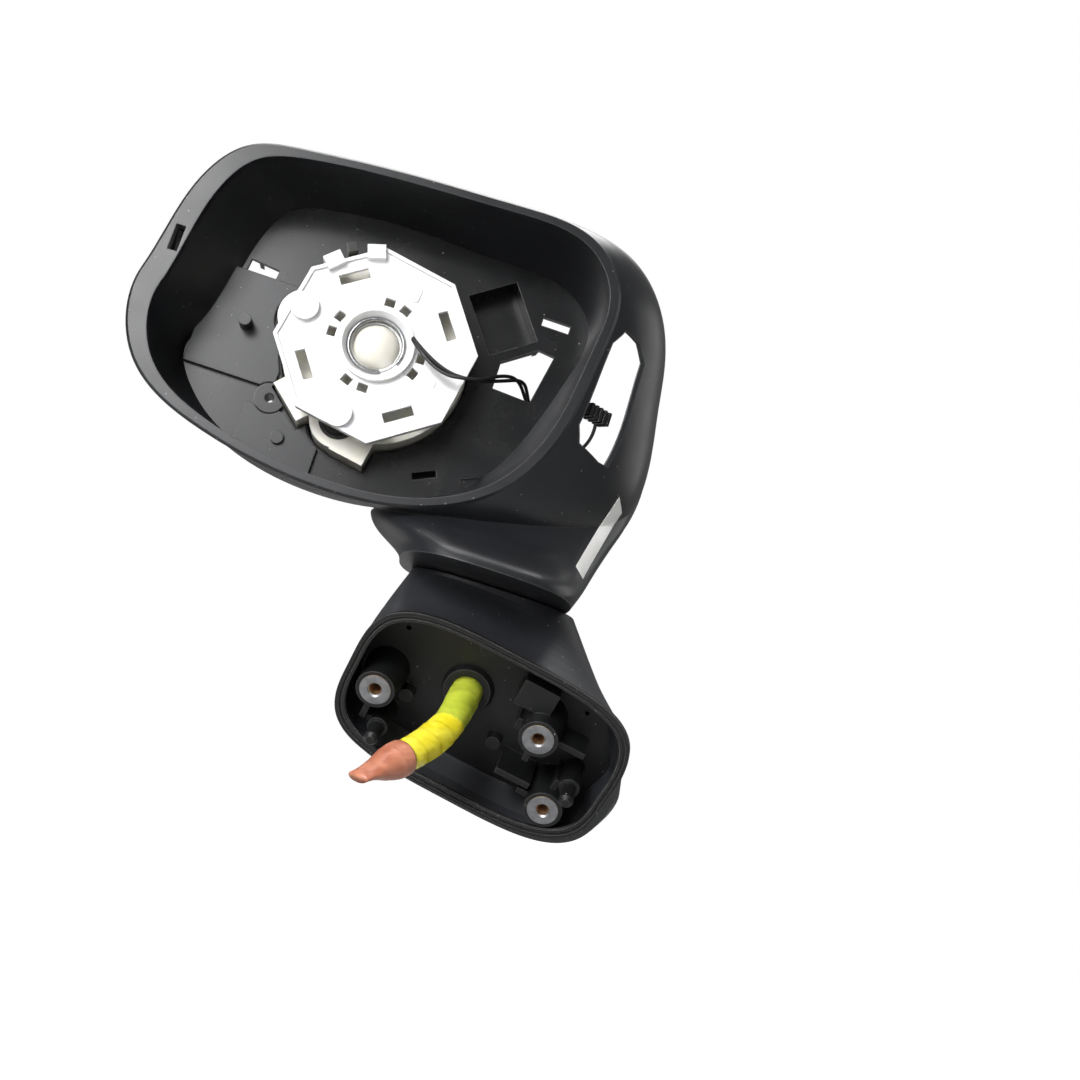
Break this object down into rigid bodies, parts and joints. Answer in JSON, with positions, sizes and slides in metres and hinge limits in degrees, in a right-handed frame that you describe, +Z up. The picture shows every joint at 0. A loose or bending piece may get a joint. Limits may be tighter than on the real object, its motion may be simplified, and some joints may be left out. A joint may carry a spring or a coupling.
{
  "type": "car side mirror",
  "caption": "Folding car door mirror without its glass, back cap and lamp: flared head with a powered tilting glass carrier, on a hinge pivot and an angled door foot with a harness tail.",
  "frame": {"origin": "centre of the foot's door mounting face", "axes": "+Z up along the fold axis, -Y the way the glass carrier looks with the head folded, -X towards the head's tip"},
  "size_m": [0.2912, 0.1151, 0.2982],
  "materials": {
    "shell_black": "fine moulded grain, satin",
    "frame_black": "smooth moulded, half gloss",
    "foot_grey": "fine moulded grain, matt",
    "rubber_black": "matt",
    "white_acetal": "satin",
    "ivory_plastic": "satin",
    "spring_steel": "bright drawn",
    "zinc_screw": "zinc plated",
    "insert_steel": "grey zinc",
    "cast_alloy": "as cast",
    "sintered_steel": "sintered",
    "motor_steel": "nickel plated",
    "tinned_brass": "tinned",
    "clear_cover": "clear, glossy",
    "yellow_tape": "woven tape",
    "brown_tape": "woven tape",
    "wire_red": "extruded",
    "wire_pink": "extruded",
    "wire_purple": "extruded",
    "wire_blue": "extruded",
    "wire_black": "extruded",
    "label_white": "paper label"
  },
  "bodies": {
    "foot": {"foot_cover": "foot_grey", "foot_base": "foot_grey", "foot_gasket": "rubber_black", "threaded_inserts": "insert_steel", "pivot_stand": "cast_alloy", "stand_screws": "zinc_screw", "pivot_tube": "spring_steel", "fold_spring": "spring_steel", "spring_washer": "spring_steel", "retaining_ring": "spring_steel", "detent_lower": "sintered_steel", "cable_grommet": "rubber_black", "harness_cord": "yellow_tape", "harness_end": "brown_tape"},
    "head": {"visor_shell": "shell_black", "frame_plate": "frame_black", "pivot_arm": "cast_alloy", "frame_screws": "zinc_screw", "actuator_screws": "zinc_screw", "arm_screws": "zinc_screw", "detent_upper": "sintered_steel", "actuator_housing": "ivory_plastic", "pivot_ball": "white_acetal", "connector_block": "frame_black", "connector_cover": "clear_cover", "terminals": "tinned_brass", "motor_up_down": "motor_steel", "motor_left_right": "motor_steel", "worm_up_down": "white_acetal", "worm_left_right": "white_acetal", "boot_up_down": "rubber_black", "boot_left_right": "rubber_black", "lamp_plug": "frame_black", "blank_label": "label_white", "heater_lead_one": "wire_black", "heater_lead_two": "wire_black", "wire_red": "wire_red", "wire_pink": "wire_pink", "wire_purple": "wire_purple", "wire_blue": "wire_blue", "lamp_lead": "wire_black"},
    "gimbal": {"gimbal_ring": "white_acetal"},
    "carrier": {"carrier_plate": "white_acetal", "retaining_spring": "spring_steel"},
    "plunger_up_down": {"jack_up_down": "white_acetal"},
    "plunger_left_right": {"jack_left_right": "white_acetal"},
    "wheel_up_down": {"nut_gear_up_down": "white_acetal"},
    "wheel_left_right": {"nut_gear_left_right": "white_acetal"}
  },
  "joints": [
    {"name": "fold", "type": "hinge", "parent": "foot", "child": "head", "pos_m": [-0.012, 0.03, 0.069], "axis": [0, 0, -1], "range_deg": [0, 120], "deforming": ["wire_red", "wire_pink", "wire_purple", "wire_blue", "lamp_lead"]},
    {"name": "tilt_up_down", "type": "hinge", "parent": "head", "child": "gimbal", "pos_m": [-0.104, 0.008, 0.1605], "axis": [0.9848, 0, -0.1736], "range_deg": [-7, 7]},
    {"name": "tilt_left_right", "type": "hinge", "parent": "gimbal", "child": "carrier", "pos_m": [-0.104, 0.008, 0.1605], "axis": [0.1736, 0, 0.9848], "range_deg": [-7, 7]},
    {"name": "plunger_slide_up_down", "type": "slide", "parent": "head", "child": "plunger_up_down", "axis": [0, 1, 0], "range_m": [-0.005, 0.005]},
    {"name": "plunger_slide_left_right", "type": "slide", "parent": "head", "child": "plunger_left_right", "axis": [0, 1, 0], "range_m": [-0.005, 0.005]},
    {"name": "wheel_turn_up_down", "type": "hinge", "parent": "head", "child": "wheel_up_down", "pos_m": [-0.11077, 0.02, 0.12209], "axis": [0, 1, 0], "range_deg": [-225, 225]},
    {"name": "wheel_turn_left_right", "type": "hinge", "parent": "head", "child": "wheel_left_right", "pos_m": [-0.14241, 0.02, 0.16727], "axis": [0, 1, 0], "range_deg": [-225, 225]}
  ],
  "couplings": [
    {"joint": "plunger_slide_up_down", "follows": "tilt_up_down", "m_per_rad": 0.039},
    {"joint": "wheel_turn_up_down", "follows": "tilt_up_down", "ratio": 30.631},
    {"joint": "plunger_slide_left_right", "follows": "tilt_left_right", "m_per_rad": -0.039},
    {"joint": "wheel_turn_left_right", "follows": "tilt_left_right", "ratio": -30.631}
  ]
}
